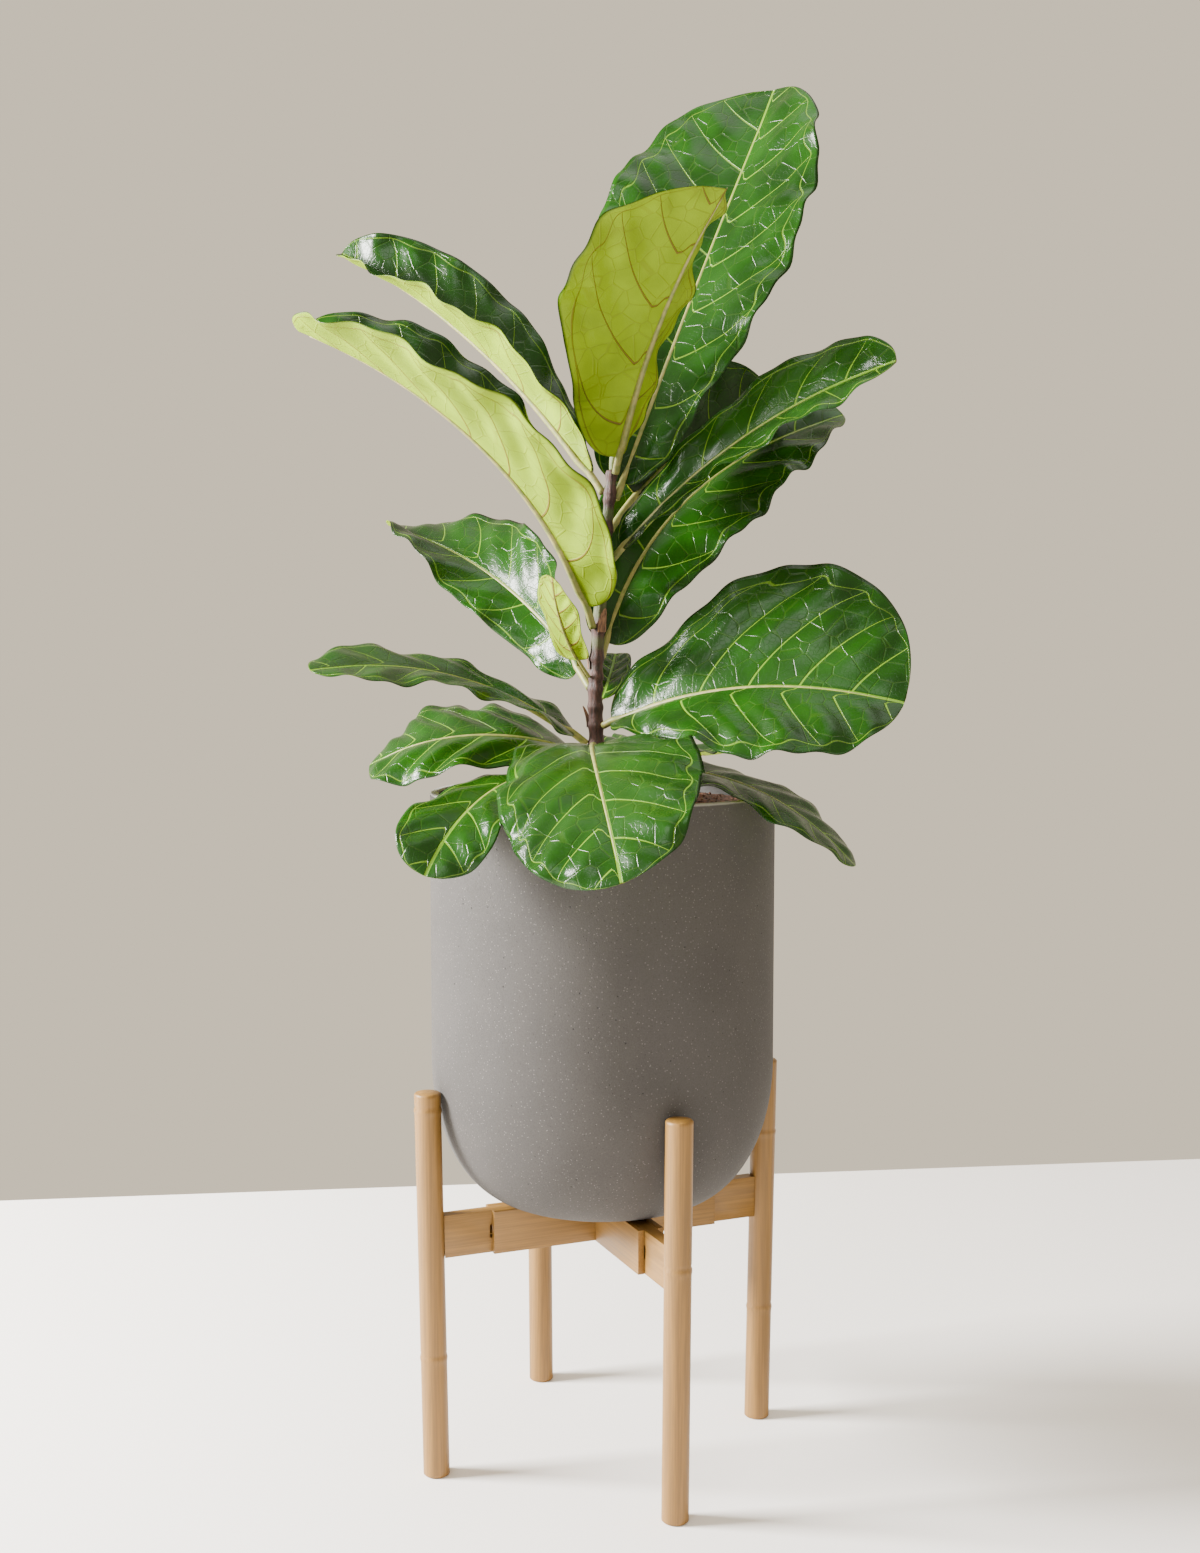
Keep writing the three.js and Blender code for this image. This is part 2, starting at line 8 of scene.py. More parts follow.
import bmesh
import bpy
import numpy as np
from bpy.props import FloatProperty, FloatVectorProperty, IntProperty, PointerProperty
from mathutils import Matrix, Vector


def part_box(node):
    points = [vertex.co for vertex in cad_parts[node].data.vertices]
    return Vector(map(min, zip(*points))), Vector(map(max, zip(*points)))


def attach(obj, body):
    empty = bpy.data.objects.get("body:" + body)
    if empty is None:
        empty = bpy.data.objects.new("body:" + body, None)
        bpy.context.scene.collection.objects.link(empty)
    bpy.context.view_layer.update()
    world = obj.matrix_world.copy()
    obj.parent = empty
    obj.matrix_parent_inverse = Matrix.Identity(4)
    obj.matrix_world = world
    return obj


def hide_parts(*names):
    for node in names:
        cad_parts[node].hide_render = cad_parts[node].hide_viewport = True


bl_info = {
    "name": "Potted Fiddle Leaf Fig",
    "version": (1, 0, 0),
    "blender": (4, 5, 0),
    "location": "3D View > Sidebar > Fig",
    "description": "Builds a fiddle leaf fig, its stoneware pot and its bamboo stand",
    "category": "Add Mesh",
}

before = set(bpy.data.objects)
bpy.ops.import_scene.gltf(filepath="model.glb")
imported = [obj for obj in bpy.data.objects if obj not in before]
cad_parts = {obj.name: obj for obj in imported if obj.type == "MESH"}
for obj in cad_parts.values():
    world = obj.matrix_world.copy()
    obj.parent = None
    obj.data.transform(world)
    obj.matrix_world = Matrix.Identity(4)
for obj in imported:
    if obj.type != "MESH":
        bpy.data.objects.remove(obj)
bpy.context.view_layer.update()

# ---- places taken from the frame -----------------------------------------------------------
MM = 0.001
POT_LOW, POT_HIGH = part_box("pot")
POT_RADIUS = (POT_HIGH.x - POT_LOW.x) / 2
POT_BOTTOM, RIM = POT_LOW.z, POT_HIGH.z
SOIL_LOW, SOIL_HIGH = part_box("soil")
SOIL_TOP = SOIL_HIGH.z
SOIL_RADIUS = (SOIL_HIGH.x - SOIL_LOW.x) / 2
TRUNK_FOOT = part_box("trunk")[0].z
LEG_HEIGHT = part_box("leg_left")[1].z

# ---- driving dimensions --------------------------------------------------------------------
GAP = 0.3 * MM
POLE_RADIUS = 1 * MM
STAND_TURN = math.radians(22.5)
QUARTERS = ["right", "back", "left", "front"]
LEG_RADIUS = 11 * MM
LEG_SPLAY = math.radians(1)
LEG_CHAMFER = 1.2 * MM
LEG_SHAVE = 0.25 * MM
LEG_SIDES = 48
LEG_KNUCKLES = {"right": [0.31, 0.8], "back": [0.45], "left": [0.31, 0.955], "front": [0.63]}

POT_FOOT_RADIUS = 66 * MM
POT_CURVE_HEIGHT = 120 * MM
POT_CURVE_POWER = 2.1
POT_WALL = 7 * MM
POT_FLOOR = 12 * MM
DRAIN_RADIUS = 10 * MM
POT_LIP = 2 * MM
POT_SIDES = 180
SOIL_MOUND = 5 * MM
SOIL_SIDES = 200
SOIL_SEED = 7

TRUNK_AXIS = np.array([
    [0, -3, 0], [40, -5, -2], [85, -6, -3], [145, -3, 0], [205, 2, 2], [268, 8, 2],
]) * MM
TRUNK_RADIUS = 7 * MM
TRUNK_TIP_RADIUS = 4.6 * MM
TRUNK_SIDES = 40

PETIOLE_RADIUS = 2.4 * MM
BLADE_THICKNESS = 1.0 * MM
BASE_ROUND = 0.16
END_POWER = 2.4
LOBE_REACH = 0.3
LOBE_LENGTH = 0.35
LEAST_CURL = 1e-4
MIDRIB_STEPS = 240
LEAF_SEED = 100

# Stipules: height above the soil's top, azimuth, length, width, in millimetres and degrees.
STIPULES = [[58, 150, 18, 7], [106, 178, 26, 8], [136, 300, 20, 8], [172, 205, 18, 7]]

# Leaves, roughly from the lowest up, in millimetres and degrees.
#   at: height above the soil's top, azimuth        path: rise, change of rise, change of azimuth
#   size: petiole, blade, width                     turn: roll at the base, its change to the tip
#   fold, curl: left half, right half               form: skew, waist, place of the widest row
LEAVES = [
    dict(at=(15, 225), path=(20, -75, 10), size=(50, 165, 80), turn=(-20, 55),
         fold=(10, 5), curl=(-10, -5), form=(0, 0.55, 0.7)),
    dict(at=(15, -35), path=(20, -70, 15), size=(60, 180, 75), turn=(-10, 10),
         fold=(0, 0), curl=(-5, -10), form=(0, 0.65, 0.6)),
    dict(at=(35, 205), path=(25, -55, -55), size=(20, 175, 125), turn=(10, 20),
         fold=(-5, 0), curl=(-15, -5), form=(0.2, 0.75, 0.55)),
    dict(at=(30, 70), path=(5, -15, -5), size=(20, 245, 110), turn=(-10, 10),
         fold=(5, 5), curl=(0, 0), form=(0, 0.4, 0.7)),
    dict(at=(40, 265), path=(15, -65, 20), size=(25, 245, 155), turn=(0, -35),
         fold=(0, 5), curl=(-5, -15), form=(0, 0.7, 0.55)),
    dict(at=(45, 190), path=(40, -50, 20), size=(15, 230, 85), turn=(15, 5),
         fold=(5, 5), curl=(-5, -5), form=(-0.05, 0.7, 0.65)),
    dict(at=(60, -35), path=(25, -40, 20), size=(10, 250, 185), turn=(-45, 0),
         fold=(15, 5), curl=(10, 0), form=(-0.15, 0.3, 0.6)),
    dict(at=(75, 70), path=(40, -15, 15), size=(10, 70, 35), turn=(0, 0),
         fold=(10, 10), curl=(10, 10), form=(0, 0.7, 0.6)),
    dict(at=(90, 125), path=(45, -30, 25), size=(25, 265, 95), turn=(110, -120),
         fold=(10, 10), curl=(5, 10), form=(0.15, 0.7, 0.6)),
    dict(at=(100, 225), path=(45, 15, 35), size=(20, 80, 50), turn=(0, 50),
         fold=(5, 5), curl=(0, 0), form=(0.15, 0.7, 0.6)),
    dict(at=(115, 60), path=(65, -50, -55), size=(15, 325, 140), turn=(-45, 15),
         fold=(10, 10), curl=(5, 0), form=(0, 0.45, 0.55)),
    dict(at=(140, 235), path=(65, -45, -85), size=(20, 335, 140), turn=(35, -10),
         fold=(35, 25), curl=(25, 10), form=(-0.15, 0.5, 0.45)),
    dict(at=(195, -20), path=(50, -40, -20), size=(15, 275, 85), turn=(-50, 0),
         fold=(15, 15), curl=(5, 0), form=(0, 0.55, 0.65)),
    dict(at=(220, 60), path=(40, -15, -35), size=(50, 185, 120), turn=(-20, -5),
         fold=(40, 15), curl=(35, 10), form=(0.05, 0.7, 0.6)),
    dict(at=(245, 40), path=(65, -5, 5), size=(15, 395, 195), turn=(-35, 40),
         fold=(15, 5), curl=(15, -5), form=(-0.1, 0.35, 0.65)),
    dict(at=(250, 155), path=(55, -30, -5), size=(20, 320, 100), turn=(-15, 70),
         fold=(40, 25), curl=(20, 15), form=(0, 0.35, 0.5)),
    dict(at=(265, -65), path=(65, -20, 20), size=(15, 230, 150), turn=(0, -10),
         fold=(30, 10), curl=(0, 0), form=(0.3, 0.35, 0.65)),
]


# ---- user settings -------------------------------------------------------------------------
class FigSizes(bpy.types.PropertyGroup):
    """Sizes that a user may change"""

    vein_spacing: FloatProperty(
        name="Vein Spacing", description="Distance between side veins along the midrib",
        default=0.044, unit="LENGTH")
    puffing: FloatProperty(
        name="Puffing", description="How far a blade bulges between its side veins",
        default=0.0034, unit="LENGTH")
    margin_wave: FloatProperty(
        name="Margin Wave", description="How far a blade's margin waves up and down",
        default=0.0045, unit="LENGTH")
    rows: IntProperty(name="Blade Rows", description="Rows along a blade", default=110)
    columns: IntProperty(name="Blade Columns", description="Columns across a blade", default=48)
    crumbs: IntProperty(name="Crumbs", description="Loose crumbs on the potting mix", default=420)


class FigColours(bpy.types.PropertyGroup):
    """Base colours that a user may change"""

    upper_side: FloatVectorProperty(
        name="Upper Side", description="Upper side of a leaf", subtype="COLOR", size=3,
        default=(0.0055, 0.038, 0.0014))
    under_side: FloatVectorProperty(
        name="Underside", description="Underside of a leaf", subtype="COLOR", size=3,
        default=(0.22, 0.34, 0.001))
    vein: FloatVectorProperty(
        name="Vein", description="Veins on the upper side", subtype="COLOR", size=3,
        default=(0.15, 0.29, 0.02))
    stoneware: FloatVectorProperty(
        name="Stoneware", description="Body of the pot", subtype="COLOR", size=3,
        default=(0.047, 0.043, 0.040))
    bamboo: FloatVectorProperty(
        name="Bamboo", description="Stand", subtype="COLOR", size=3,
        default=(0.24, 0.122, 0.024))
    floor: FloatVectorProperty(
        name="Floor", description="Floor under the stand", subtype="COLOR", size=3,
        default=(0.90, 0.87, 0.84))


# ---- meshes --------------------------------------------------------------------------------
def closed_skin(rings):
    """Quads between neighbouring rings of a (rows, sides, 3) array, and a fan of triangles to the
    mean point of the first and of the last ring."""
    rows, sides, _ = rings.shape
    index = np.arange(rows * sides).reshape(rows, sides)
    after = np.roll(index, -1, axis=1)
    quads = np.stack([index[:-1], after[:-1], after[1:], index[1:]], axis=-1).reshape(-1, 4)
    first, last = rows * sides, rows * sides + 1
    caps = np.concatenate([
        np.stack([after[0], index[0], np.full(sides, first)], axis=-1),
        np.stack([index[-1], after[-1], np.full(sides, last)], axis=-1),
    ])
    points = np.concatenate([rings.reshape(-1, 3), rings[0].mean(0)[None], rings[-1].mean(0)[None]])
    return points, quads, caps


def add_piece(name, skins, body, stands_for, materials, values=None):
    """One object from several closed skins, each with the index of its material."""
    points, starts, totals, corners, picks, offset = [], [], [], [], [], 0
    for (verts, quads, caps), pick in skins:
        points.append(verts)
        for faces in (quads, caps):
            corners.append((faces + offset).ravel())
            totals.append(np.full(len(faces), faces.shape[1]))
            picks.append(np.full(len(faces), pick))
        offset += len(verts)
    corners, totals = np.concatenate(corners), np.concatenate(totals)
    starts = np.concatenate([[0], np.cumsum(totals)[:-1]])
    mesh = bpy.data.meshes.new(name)
    mesh.vertices.add(offset)
    mesh.vertices.foreach_set("co", np.concatenate(points).astype(np.float32).ravel())
    mesh.loops.add(len(corners))
    mesh.loops.foreach_set("vertex_index", corners.astype(np.int32))
    mesh.polygons.add(len(totals))
    mesh.polygons.foreach_set("loop_start", starts.astype(np.int32))
    mesh.polygons.foreach_set("material_index", np.concatenate(picks).astype(np.int32))
    for key, array in (values or {}).items():
        kind, field = ("FLOAT", "value") if array.ndim == 1 else ("FLOAT_VECTOR", "vector")
        layer = mesh.attributes.new(key, kind, "POINT")
        layer.data.foreach_set(field, array.astype(np.float32).ravel())
    mesh.update(calc_edges=True)
    mesh.validate()
    mesh.shade_smooth()
    for material in materials:
        mesh.materials.append(material)
    piece = bpy.data.objects.new(name, mesh)
    bpy.context.scene.collection.objects.link(piece)
    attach(piece, body)
    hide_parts(*stands_for)


def turned(profile, sides, centre=(0, 0)):
    """Rings of a [radius, height] profile round an upright axis. A radius at an angle is the
    profile's radius times the angle's cosine and sine."""
    angle = np.linspace(0, 2 * math.pi, sides, endpoint=False)
    radius, height = np.asarray(profile).T
    return np.stack([
        centre[0] + radius[:, None] * np.cos(angle),
        centre[1] + radius[:, None] * np.sin(angle),
        np.broadcast_to(height[:, None], (len(radius), sides)),
    ], axis=-1)


def arc(centre_r, centre_z, radius, start, end, steps):
    """Points of a profile on a circle from one angle to another, in degrees."""
    angle = np.radians(np.linspace(start, end, steps))
    return np.stack([centre_r + radius * np.cos(angle), centre_z + radius * np.sin(angle)], axis=-1)


def smooth(low, high, value):
    """0 below low, 1 above high, and the usual cubic ease between them."""
    share = np.clip((value - low) / (high - low), 0, 1)
    return share * share * (3 - 2 * share)


# ---- materials -----------------------------------------------------------------------------
class Value:
    """A number that changes over a surface, with Python's operators as Math nodes."""

    def __init__(self, finish, socket):
        self.finish, self.socket = finish, socket

    def maths(self, operation, *values):
        return self.finish.node("ShaderNodeMath", {"operation": operation},
                                dict(enumerate(values)))

    def __add__(self, other):
        return self.maths("ADD", self, other)

    def __radd__(self, other):
        return self.maths("ADD", other, self)

    def __sub__(self, other):
        return self.maths("SUBTRACT", self, other)

    def __rsub__(self, other):
        return self.maths("SUBTRACT", other, self)

    def __mul__(self, other):
        return self.maths("MULTIPLY", self, other)

    def __rmul__(self, other):
        return self.maths("MULTIPLY", other, self)

    def __truediv__(self, other):
        return self.maths("DIVIDE", self, other)

    def __rtruediv__(self, other):
        return self.maths("DIVIDE", other, self)

    def __abs__(self):
        return self.maths("ABSOLUTE", self)

    def at_least(self, other):
        return self.maths("MAXIMUM", self, other)

    def cosine(self):
        return self.maths("COSINE", self)

    def nearest_whole(self):
        return self.maths("ROUND", self)

    def ease(self, low, high, start=0.0, end=1.0):
        """Eases from start, where the value is low, to end, where it is high."""
        return self.finish.node("ShaderNodeMapRange", {"interpolation_type": "SMOOTHSTEP"},
                                {"Value": self, "From Min": low, "From Max": high,
                                 "To Min": start, "To Max": end})


def tinted(colour, factor):
    """A darker or lighter shade of a colour."""
    return [min(1, channel * factor) for channel in colour]


class Finish:
    """One procedural material under construction."""

    def __init__(self, name):
        self.material = bpy.data.materials.new(name)
        self.material.use_nodes = True
        self.tree = self.material.node_tree
        self.shader = self.tree.nodes["Principled BSDF"]

    def node(self, kind, settings=None, inputs=None, output=0):
        node = self.tree.nodes.new(kind)
        for key, setting in (settings or {}).items():
            setattr(node, key, setting)
        for key, value in (inputs or {}).items():
            self.put(node.inputs[key], value)
        return Value(self, node.outputs[output])

    def put(self, socket, value):
        if isinstance(value, Value):
            self.tree.links.new(value.socket, socket)
        elif socket.type == "RGBA":
            socket.default_value = (*value, 1.0) if len(value) == 3 else value
        else:
            socket.default_value = value

    def mix(self, share, first, second):
        """A colour between two colours."""
        return self.node("ShaderNodeMix", {"data_type": "RGBA"}, {0: share, 6: first, 7: second}, 2)

    def place(self, turn=(0, 0, 0), scale=(1, 1, 1)):
        """Object coordinates, turned and then stretched."""
        where = self.node("ShaderNodeTexCoord", output="Object")
        turned_to = self.node("ShaderNodeMapping", {}, {"Vector": where, "Rotation": turn})
        return self.node("ShaderNodeMapping", {}, {"Vector": turned_to, "Scale": scale})

    def noise(self, where, scale, detail=3.0, roughness=0.5):
        return self.node("ShaderNodeTexNoise", {}, {"Vector": where, "Scale": scale,
                                                    "Detail": detail, "Roughness": roughness})

    def cells(self, where, scale, feature="F1", output="Distance"):
        return self.node("ShaderNodeTexVoronoi", {"feature": feature},
                         {"Vector": where, "Scale": scale}, output)

    def attribute(self, name, output="Fac"):
        return self.node("ShaderNodeAttribute", {"attribute_name": name}, output=output)

    def split(self, vector):
        """The three numbers of a vector."""
        node = self.node("ShaderNodeSeparateXYZ", {}, {0: vector})
        return [Value(self, socket) for socket in node.socket.node.outputs]

    def done(self, colour, roughness, height=None, depth=0.001, specular=0.5):
        self.put(self.shader.inputs["Base Color"], colour)
        self.put(self.shader.inputs["Roughness"], roughness)
        if height is not None:
            bump = self.node("ShaderNodeBump", {}, {"Height": height, "Distance": depth})
            self.put(self.shader.inputs["Normal"], bump)
        self.put(self.shader.inputs["Specular IOR Level"], specular)
        return self.material


def bamboo_finish(name, colour, turn=(0, 0, 0)):
    """Bamboo whose fibres run along the first axis, once turned."""
    finish = Finish(name)
    along = finish.place(turn, (1.2, 60, 60))
    strands = finish.noise(along, 9, 6, 0.65)
    streaks = finish.noise(finish.place(turn, (0.6, 25, 25)), 5, 2)
    tone = finish.mix(strands.ease(0.35, 0.65), tinted(colour, 0.78),
                      tinted(colour, 1.12))
    tone = finish.mix(streaks.ease(0.55, 0.75, 0, 0.45), tone, tinted(colour, 0.6))
    return finish.done(tone, strands.ease(0, 1, 0.36, 0.56), strands, 0.00018)


def stoneware_finish(colour):
    """Matte body with pale and dark grit, small pores and a paler lip."""
    finish = Finish("stoneware")
    where = finish.place()
    height = finish.split(where)[2]
    body = finish.noise(where, 14, 4)
    fine = finish.noise(where, 900, 2)
    pale = finish.cells(where, 330).ease(0.10, 0.20, 1, 0)
    dark = finish.cells(finish.place(scale=(1.1, 1.1, 1.1)), 210).ease(0.06, 0.13, 1, 0)
    pores = finish.cells(finish.place(scale=(0.9, 0.9, 0.9)), 95).ease(0.035, 0.075, 1, 0)
    tone = finish.mix(body.ease(0.35, 0.65), tinted(colour, 0.93), tinted(colour, 1.07))
    tone = finish.mix(pale * 0.22, tone, (0.35, 0.33, 0.31))
    tone = finish.mix(dark * 0.7, tone, (0.018, 0.016, 0.015))
    tone = finish.mix(pores * 0.9, tone, (0.014, 0.013, 0.012))
    tone = finish.mix(height.ease(RIM - 0.0022, RIM - 0.0008, 0, 0.75), tone, (0.40, 0.38, 0.36))
    relief = fine * 0.25 - pores - dark * 0.3
    return finish.done(tone, fine.ease(0.2, 0.8, 0.72, 0.92), relief, 0.0006)


def soil_finish():
    """Reddish brown crumbs of peat and bark."""
    finish = Finish("potting_mix")
    where = finish.place()
    grain = finish.cells(where, 260)
    tint = finish.noise(where, 160, 4)
    tone = finish.mix(tint.ease(0.35, 0.65), (0.045, 0.018, 0.012), (0.19, 0.075, 0.042))
    tone = finish.mix(grain.ease(0.25, 0.7, 0, 0.6), tone, (0.02, 0.01, 0.007))
    return finish.done(tone, 0.95, 1 - grain, 0.0015)


def bark_finish():
    """Dark maroon-brown bark, greener between the nodes, with fine upright cracks."""
    finish = Finish("bark")
    green = finish.attribute("green")
    cracks = finish.noise(finish.place(scale=(160, 160, 28)), 3, 5, 0.6)
    lenticels = finish.cells(finish.place(scale=(1, 1, 2)), 330).ease(0.12, 0.24, 1, 0)
    tone = finish.mix(cracks.ease(0.35, 0.65), (0.026, 0.012, 0.010), (0.085, 0.036, 0.028))
    tone = finish.mix(green * 0.7, tone, (0.075, 0.115, 0.028))
    tone = finish.mix(lenticels * 0.4, tone, (0.20, 0.13, 0.09))
    return finish.done(tone, cracks.ease(0, 1, 0.5, 0.8), cracks + lenticels * 0.3, 0.0009)


def sheath_finish(name, dark, pale):
    """Papery sheath with lengthwise fibres."""
    finish = Finish(name)
    fibres = finish.noise(finish.place(scale=(220, 220, 30)), 4, 4)
    tone = finish.mix(fibres.ease(0.3, 0.7), dark, pale)
    return finish.done(tone, fibres.ease(0, 1, 0.5, 0.8), fibres, 0.0005)


def blade_finish(colours):
    """A leaf's blade. The attribute vein_map holds the place along the row of side veins, counted
    in veins, the spacing of the veins in metres and the distance from the midrib in metres. The
    attribute edge holds the share of the way out to the margin, then the half-width and the
    distance along the blade in metres. The attribute upper is 1 on the upper side."""
    finish = Finish("leaf_blade")
    count, spacing, across = finish.split(finish.attribute("vein_map", "Vector"))
    out, half, length = finish.split(finish.attribute("edge", "Vector"))
    upper = finish.attribute("upper")
    where = finish.node("ShaderNodeCombineXYZ", {}, {0: length, 1: across, 2: upper * 0.01})

    side_distance = abs(count - count.nearest_whole()) * spacing * 0.8
    side_width = out.ease(0.0, 0.9, 0.0008, 0.00035)
    side_vein = (side_distance / side_width).ease(0.55, 1.35, 1, 0) * out.ease(0.86, 0.93, 1, 0)
    loop_out = 0.865 + (count * (2 * math.pi)).cosine() * 0.035
    loop = (abs(out - loop_out) * half).ease(0.0003, 0.0008, 0.7, 0)
    midrib = across.ease(0.0010, 0.0017, 1, 0)
    net = finish.cells(where, 62, "DISTANCE_TO_EDGE").ease(0.012, 0.045, 1, 0)
    fine_net = finish.cells(where, 260, "DISTANCE_TO_EDGE").ease(0.0, 0.10, 1, 0)
    veins = side_vein.at_least(loop).at_least(midrib)

    mottling = finish.noise(where, 26, 4)
    shade = finish.noise(where, 9, 2)
    upper_tone = finish.mix(mottling.ease(0.3, 0.7), tinted(colours.upper_side, 0.72),
                            tinted(colours.upper_side, 1.45))
    upper_tone = finish.mix(shade.ease(0.45, 0.75, 0, 0.4), upper_tone, (0.018, 0.080, 0.007))
    upper_tone = finish.mix(net * 0.10, upper_tone, tinted(colours.vein, 0.55))
    upper_tone = finish.mix(veins * 0.72, upper_tone, colours.vein)

    under_tone = finish.mix(mottling.ease(0.3, 0.7), tinted(colours.under_side, 0.85),
                            tinted(colours.under_side, 1.12))
    under_tone = finish.mix(net * 0.30, under_tone, (0.16, 0.19, 0.01))
    under_tone = finish.mix(veins * 0.9, under_tone, (0.15, 0.095, 0.015))

    tone = finish.mix(upper, under_tone, upper_tone)
    gloss = shade.ease(0.2, 0.8, 0.20, 0.30)
    roughness = gloss * upper + (1 - upper) * 0.62
    relief = (fine_net * -0.05 - net * 0.22 - veins * 0.7) * (upper * 2 - 1)
    return finish.done(tone, roughness, relief, 0.0009, specular=0.22)


def rib_finish():
    """Petiole and the raised midrib under a blade."""
    finish = Finish("leaf_rib")
    streak = finish.noise(finish.place(scale=(40, 40, 40)), 4, 3)
    tone = finish.mix(streak.ease(0.3, 0.7), (0.17, 0.20, 0.045), (0.30, 0.27, 0.08))
    return finish.done(tone, 0.5, streak, 0.0003)


# ---- stand ---------------------------------------------------------------------------------
def leg_rings(quarter):
    """A leg is a turned profile with swollen knuckles, each a bell curve of height, sheared
    outwards by the splay."""
    low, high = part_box(f"leg_{quarter}")
    index = QUARTERS.index(quarter)
    angle = STAND_TURN + index * math.pi / 2
    outwards = np.array([math.cos(angle), math.sin(angle)])
    middle = np.array([(low.x + high.x) / 2, (low.y + high.y) / 2]) @ outwards
    heights = np.linspace(LEG_CHAMFER, LEG_HEIGHT - LEG_CHAMFER, 160)
    radius = np.full_like(heights, LEG_RADIUS - LEG_SHAVE)
    for share in LEG_KNUCKLES[quarter]:
        away = heights - share * LEG_HEIGHT
        radius += 0.55 * MM * np.exp(-(away / (2.2 * MM)) ** 2)
        radius -= 0.45 * MM * np.exp(-((away - 3.2 * MM) / (1.0 * MM)) ** 2)
    flat = LEG_RADIUS - LEG_CHAMFER - LEG_SHAVE
    profile = np.concatenate([
        [[POLE_RADIUS, 0], [flat, 0]],
        np.stack([radius, heights], axis=-1),
        [[flat, LEG_HEIGHT], [POLE_RADIUS, LEG_HEIGHT]],
    ])
    rings = turned(profile, LEG_SIDES)
    lean = middle + (rings[..., 2] - LEG_HEIGHT / 2) * math.tan(LEG_SPLAY)
    rings[..., :2] += lean[..., None] * outwards
    return rings


class FIG_OT_legs(bpy.types.Operator):
    """Add the four round legs with their knuckles"""

    bl_idname = "fig.legs"
    bl_label = "Legs"

    def execute(self, context):
        material = bamboo_finish("bamboo_upright", context.scene.fig_colours.bamboo,
                                 (0, math.pi / 2, 0))
        for quarter in QUARTERS:
            add_piece(f"visual_leg_{quarter}", [(closed_skin(leg_rings(quarter)), 0)],
                      f"side_{quarter}", [f"leg_{quarter}"], [material])
        return {"FINISHED"}


def eased_copy(node, body, material, width):
    """A copy of a node's mesh with its doubles merged, its flat faces joined and its edges
    eased."""
    shape = bmesh.new()
    shape.from_mesh(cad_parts[node].data)
    bmesh.ops.remove_doubles(shape, verts=shape.verts, dist=1e-6)
    bmesh.ops.dissolve_limit(shape, angle_limit=math.radians(1), verts=shape.verts,
                             edges=shape.edges)
    mesh = bpy.data.meshes.new(f"visual_{node}")
    shape.to_mesh(mesh)
    shape.free()
    mesh.materials.clear()
    mesh.materials.append(material)
    piece = bpy.data.objects.new(f"visual_{node}", mesh)
    bpy.context.scene.collection.objects.link(piece)
    bevel = piece.modifiers.new("eased_edges", "BEVEL")
    bevel.width = width
    bevel.segments = 2
    bevel.limit_method = "ANGLE"
    bevel.angle_limit = math.radians(50)
    bevel.harden_normals = True
    mesh.shade_smooth()
    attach(piece, body)
    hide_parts(node)


class FIG_OT_bars(bpy.types.Operator):
    """Add the crossed bars, the sliding arms and the stop pins with eased edges"""

    bl_idname = "fig.bars"
    bl_label = "Bars and Arms"

    def execute(self, context):
        colour = context.scene.fig_colours.bamboo
        lengthwise = bamboo_finish("bamboo_first_bar", colour, (0, 0, -STAND_TURN))
        crosswise = bamboo_finish("bamboo_second_bar", colour, (0, 0, math.pi / 2 - STAND_TURN))
        root = "stand_and_plant"
        eased_copy("bar_lower", root, lengthwise, 0.6 * MM)
        eased_copy("bar_upper", root, crosswise, 0.6 * MM)
        for index, quarter in enumerate(QUARTERS):
            material = crosswise if index % 2 else lengthwise
            eased_copy(f"arm_{quarter}", f"side_{quarter}", material, 0.5 * MM)
            eased_copy(f"stop_pin_{quarter}", root, material, 0.4 * MM)
        return {"FINISHED"}


# ---- pot and potting mix -------------------------------------------------------------------
def rounded_wall(radius, foot, bottom, height, steps):
    """A quarter of a superellipse from the foot's edge up to the straight wall."""
    up = 1 - np.cos(np.linspace(0, math.pi / 2, steps))
    out = (1 - (1 - up) ** POT_CURVE_POWER) ** (1 / POT_CURVE_POWER)
    return np.stack([foot + (radius - foot) * out, bottom + height * up], axis=-1)


def pot_rings():
    """The pot's profile runs from the drain hole out under the foot, up the outer wall, over the
    rounded lip, down the inner wall and back to the hole, and its last ring meets its first."""
    inner = POT_RADIUS - POT_WALL
    outside = rounded_wall(POT_RADIUS, POT_FOOT_RADIUS, POT_BOTTOM, POT_CURVE_HEIGHT, 40)
    inside = rounded_wall(inner, POT_FOOT_RADIUS - POT_WALL, POT_BOTTOM + POT_FLOOR,
                          POT_CURVE_HEIGHT - POT_FLOOR + POT_WALL, 24)[::-1]
    straight = np.linspace(POT_BOTTOM + POT_CURVE_HEIGHT, RIM - POT_LIP, 12)[1:]
    profile = np.concatenate([
        [[DRAIN_RADIUS, POT_BOTTOM]],
        outside,
        np.stack([np.full_like(straight, POT_RADIUS), straight], axis=-1),
        arc(POT_RADIUS - POT_LIP, RIM - POT_LIP, POT_LIP, 10, 90, 6),
        arc(inner + POT_LIP, RIM - POT_LIP, POT_LIP, 90, 180, 6),
        inside,
        [[DRAIN_RADIUS, POT_BOTTOM + POT_FLOOR]],
    ])
    return turned(profile, POT_SIDES)


